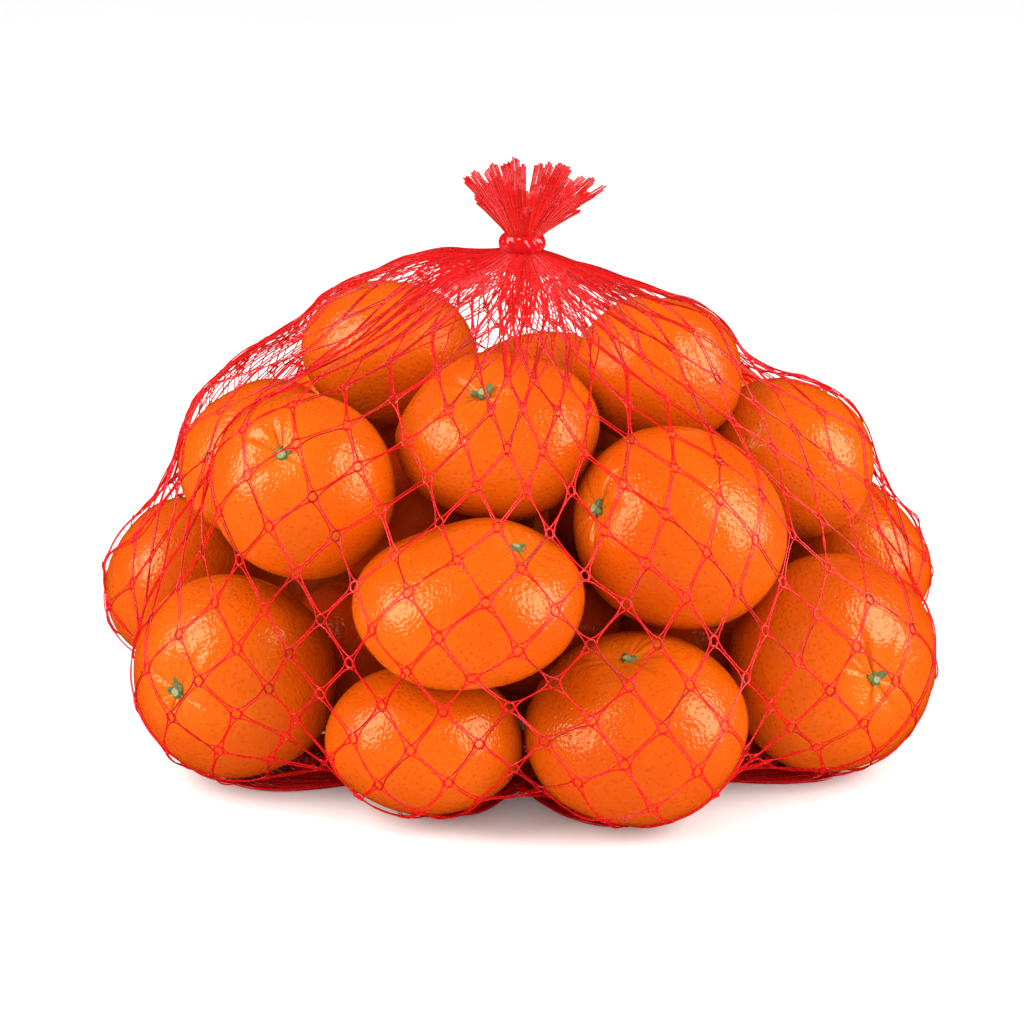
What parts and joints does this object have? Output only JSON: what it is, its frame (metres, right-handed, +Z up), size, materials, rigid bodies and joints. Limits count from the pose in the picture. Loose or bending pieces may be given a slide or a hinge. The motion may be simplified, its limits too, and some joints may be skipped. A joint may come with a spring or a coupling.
{
  "type": "net of mandarins",
  "caption": "Red net bag packed with loose mandarins, gathered into a neck by a ring clip, with a tuft of cut net above; rests on its own flattened base.",
  "frame": {"origin": "middle of the box round the bag, on the surface that it rests on", "axes": "+Z up through the neck, +X along the bag's width, the side seen in the picture faces -Y"},
  "size_m": [0.2582, 0.21, 0.1796],
  "materials": {
    "peel": "waxy pored citrus peel with soft highlights",
    "net": "glossy drawn plastic filament",
    "clip": "glossy, slightly translucent moulded plastic",
    "calyx": "dry matt green stalk end"
  },
  "bodies": {
    "root": {"net_bag": "peel", "clip": "clip"}
  },
  "joints": []
}
